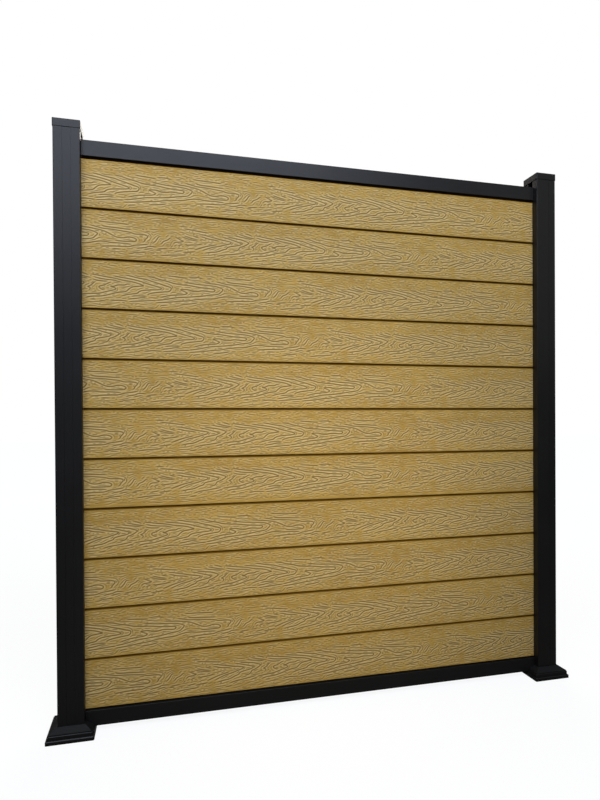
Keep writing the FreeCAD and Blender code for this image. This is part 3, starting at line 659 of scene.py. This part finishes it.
def pressed(values, xs, ys, zs, shifts, raised):
    """A roller map's value at a board's vertices, and 0 at those off its two faces."""
    height = zs + ROLLER_FOOT - raised
    along = xs + clear_half / MM
    result = np.zeros(len(xs))
    for face, way, shift in ((-BOARD_HALF, 1, shifts[0]), (BOARD_HALF, -1, shifts[1])):
        here = ys == face
        result[here] = between_cells(values, way * along[here] - shift, height[here])
    lift = (np.clip((zs - EDGE) / LIFT_OFF, 0, 1)
            * np.clip((FACE - EDGE - zs) / LIFT_OFF, 0, 1))
    return result * lift


# %% Board mesh
SHARP = math.radians(38)            # edges that turn more than this stay sharp


def close_ends(mesh, rings):
    """Fills the section at both ends, round the hollows, and turns every face outwards."""
    shape = bmesh.new()
    shape.from_mesh(mesh)
    shape.verts.ensure_lookup_table()
    for end in (0, 1):
        edges = []
        for ring in rings:
            loop = [shape.verts[index] for index in ring[end]]
            edges += [shape.edges.get(pair) for pair in zip(loop, loop[1:] + loop[:1])]
        bmesh.ops.triangle_fill(shape, use_beauty=False, use_dissolve=False, edges=edges)
    bmesh.ops.recalc_face_normals(shape, faces=shape.faces)
    shape.to_mesh(mesh)
    shape.free()


def board_mesh(name, length, base, shifts, raised):
    """A board from -length/2 to +length/2 along X whose face starts base mm up. The shifts
    are where the big arch's tip lies in front and behind, in mm from the left post."""
    columns = int(round(length / COLUMN)) + 1
    x = np.linspace(-length / 2, length / 2, columns)
    points = len(outline)
    xs = np.repeat(x, points)
    ys = np.tile(outline[:, 0], columns)
    zs = np.tile(outline[:, 1], columns)
    maps = {"grain": pressed(roller, xs, ys, zs, shifts, raised),
            "crest": pressed(crest, xs, ys, zs, shifts, raised)}
    in_joint = np.abs(ys) < BOARD_HALF
    ys = ys - np.sign(ys) * EMBOSS * maps["grain"]
    # the roller doesn't reach into the joint; its faces are given the full groove tone, which is painted
    # shade in the joint
    maps["grain"][in_joint] = 1.0

    corners = np.arange(points)
    following = np.roll(corners, -1)
    first = np.arange(columns - 1)[:, None] * points
    quads = np.stack([first + corners, first + following,
                      first + points + following, first + points + corners], -1)
    vertices = [np.stack([xs, ys, zs + base], -1)]
    faces = [tuple(quad) for quad in quads.reshape(-1, 4).tolist()]
    rings = [(list(range(points)), list(range((columns - 1) * points, columns * points)))]
    at, sides = len(xs), len(hollow_outline)
    for number in range(HOLLOWS):
        hollow = hollow_outline + (0, HOLLOW_FIRST + number * HOLLOW_PITCH)
        for end in (x[0], x[-1]):
            vertices.append(
                np.column_stack([np.full(sides, end), hollow[:, 0], hollow[:, 1] + base]))
        near, far = list(range(at, at + sides)), list(range(at + sides, at + 2 * sides))
        for i in range(sides):
            beside = (i + 1) % sides
            faces.append((near[i], far[i], far[beside], near[beside]))
        rings.append((near, far))
        at += 2 * sides

    mesh = bpy.data.meshes.new(name)
    mesh.from_pydata((np.vstack(vertices) * MM).tolist(), [], faces)
    close_ends(mesh, rings)
    for label, values in maps.items():
        # the hollow cells get the full groove tone too, as painted shade, and no painted highlight
        in_hollows = np.full(at - len(values), float(label == "grain"))
        layer = mesh.attributes.new(label, "FLOAT", "POINT")
        layer.data.foreach_set("value", np.concatenate([values, in_hollows]).astype(np.float32))
    mesh.polygons.foreach_set("use_smooth", np.ones(len(mesh.polygons), bool))
    mesh.set_sharp_from_angle(angle=SHARP)
    return mesh


# %% [markdown]
# ## The composite
# Wood-plastic composite is wood flour in polyethylene, brushed and then embossed: a matt,
# slightly waxy tan. Its grooves are painted darker, partly the composite's own darker tone
# and partly painted shade in the recesses. Its colour drifts a little along the board, and
# fine brush marks run along it. Brush marks are 0.1 to 0.3 mm wide; at this distance they
# would vanish, so they are drawn about 5 mm wide, with finer ones among them.

# %% Composite material
DRIFT = (2.2, 2.2, 16.0)            # features in a metre: long clouds of colour
MARKS = (20.0, 20.0, 190.0)         # brush marks 50 mm long and 5 mm wide
composite, tree = new_material("embossed_wood_plastic_composite")
place = own_place(tree)
grain = add(tree, "Attribute", attribute_name="grain").outputs["Fac"]
crests = add(tree, "Attribute", attribute_name="crest").outputs["Fac"]
cloudy = add(tree, "Mapping", {"Vector": place, "Scale": DRIFT}).outputs[0]
drift = noise(tree, cloudy, scale=1.0, detail=3.0, roughness=0.55)
tan = two_tone(tree, drift, "#b89244", "#c5a04f", low_at=0.3, high_at=0.72)
stretched = add(tree, "Mapping", {"Vector": place, "Scale": MARKS}).outputs[0]
brushed = noise(tree, stretched, scale=1.0, detail=3.0, roughness=0.6)
marks = spread(tree, brushed, 0.84, 1.16, from_low=0.3, from_high=0.7)
streaked = add(tree, "VectorMath", {0: tan, "Scale": marks}, operation="SCALE").outputs[0]


def tinted(under, share, over):
    """A colour with a share of another over it."""
    node = add(tree, "Mix", {"Factor": share, "A": under, "B": colour(over)}, data_type="RGBA")
    return node.outputs[2]


# the crests are painted lighter: a painted highlight standing in for the lamps' glint on the ridges
painted_crest_highlight = spread(tree, crests, 0.0, 0.62, from_low=0.1, from_high=0.6)
# the grooves are painted darker: partly the composite's own tone, partly painted shade in the recesses
groove_tone_and_shade = spread(tree, grain, 0.0, 0.88, from_low=0.08, from_high=0.8)
tan_with_painted_light = tinted(tinted(streaked, painted_crest_highlight, "#f2dca2"), groove_tone_and_shade, "#785715")
wood = add(tree, "BsdfPrincipled", {
    "Base Color": tan_with_painted_light, "Roughness": spread(tree, brushed, 0.46, 0.66),
    "Normal": bump(tree, brushed, strength=0.35, distance=1.2 * MM),
    "IOR": 1.5, "Specular IOR Level": 0.14})
finish_material(tree, wood)
print("material:", composite.name)

# %% Place the boards
# mm from the left post's face to the tip of the big arch, from the top board down
TIP_AT = [163, 751, 256, 355, 717, 675, 674, 403, 648, 129, 781]
BEHIND = 1.7                        # times as far for the tip on the board's back
RAISED = {BOARDS[4]: 7.5}           # mm, where the roller ran higher on a board
for name, tip in zip(reversed(BOARDS), TIP_AT):
    low, high = low_high(name)
    mesh = board_mesh(name + "_embossed", (high[0] - low[0]) / MM, low[2] / MM,
                      (tip, tip * BEHIND), RAISED.get(name, 0.0))
    mesh.materials.append(composite)
    piece = bpy.data.objects.new(name + "_embossed", mesh)
    scene.collection.objects.link(piece)
    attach(piece, "root")
    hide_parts(name)
print("faces on a board:", len(mesh.polygons))


# %% [markdown]
# ## Powder-coated aluminium
# Posts, rails and slot strips are extruded aluminium with a fine-texture black powder
# coat. The powder melts into a skin of small bumps, so a lamp makes a wide dull sheen
# and never a sharp mirror. The bumps are 0.3 mm wide; here they are drawn 1.2 mm wide.

# %% Powder coat
coat, tree = new_material("black_fine_texture_powder_coat")
place = own_place(tree)
clouds = noise(tree, place, scale=7.0, detail=4.0)
bumps = noise(tree, place, scale=850.0, detail=2.0)
metal = add(tree, "BsdfPrincipled", {
    "Base Color": two_tone(tree, clouds, "#131312", "#1b1b1a"),
    "Roughness": spread(tree, clouds, 0.38, 0.48),
    "Normal": bump(tree, bumps, strength=0.35, distance=0.2 * MM),
    "IOR": 1.5, "Specular IOR Level": 0.3})
finish_material(tree, metal)
EXTRUSIONS = [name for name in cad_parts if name.endswith(("_post", "_rail", "_strip"))]
dress(coat, *EXTRUSIONS)
print("coated:", len(EXTRUSIONS))


# %% [markdown]
# ## Moulded plastic
# Caps, base covers and rail shoes are injection moulded: the covers and caps in black
# ABS with a fine spark-eroded texture, the shoes in black nylon, which looks the same. The
# texture is about 0.1 mm wide; here it is drawn 0.9 mm wide.

# %% Plastics
plastic, tree = new_material("black_moulded_abs")
place = own_place(tree)
clouds = noise(tree, place, scale=12.0, detail=3.0)
grit = noise(tree, place, scale=1100.0, detail=2.0)
moulded = add(tree, "BsdfPrincipled", {
    "Base Color": two_tone(tree, clouds, "#121211", "#1b1b1a"),
    "Roughness": spread(tree, clouds, 0.36, 0.46),
    "Normal": bump(tree, grit, strength=0.2, distance=0.15 * MM),
    "IOR": 1.54, "Specular IOR Level": 0.25})
finish_material(tree, moulded)
MOULDED = [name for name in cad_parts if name.endswith(("_cap", "_cover", "_shoe"))]
dress(plastic, *MOULDED)
print("moulded:", len(MOULDED))


# %% [markdown]
# ## Steel
# The base plates are hot-dip galvanised: zinc freezes on the steel in flat crystals about
# 7 mm across, which mirror the light in patches. The screws are stainless, with turning
# marks drawn about 1 mm wide.

# %% Steels
zinc, tree = new_material("hot_dip_galvanised_steel")
crystals = add(tree, "TexVoronoi", {"Vector": own_place(tree), "Scale": 140.0}).outputs["Color"]
plate = add(tree, "BsdfPrincipled", {
    "Base Color": two_tone(tree, crystals, "#8b8f92", "#b4b8ba"), "Metallic": 1.0,
    "Roughness": spread(tree, crystals, 0.32, 0.5)})
finish_material(tree, plate)
dress(zinc, "left_base_plate", "right_base_plate")

stainless, tree = new_material("stainless_steel_screw")
turned = noise(tree, own_place(tree), scale=900.0, detail=2.0)
screw = add(tree, "BsdfPrincipled", {
    "Base Color": two_tone(tree, turned, "#9a9c9d", "#c4c6c7"), "Metallic": 1.0,
    "Roughness": spread(tree, turned, 0.22, 0.34)})
finish_material(tree, screw)
SCREWS = [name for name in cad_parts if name.endswith("_screws")]
dress(stainless, *SCREWS)
print("screw groups:", SCREWS)
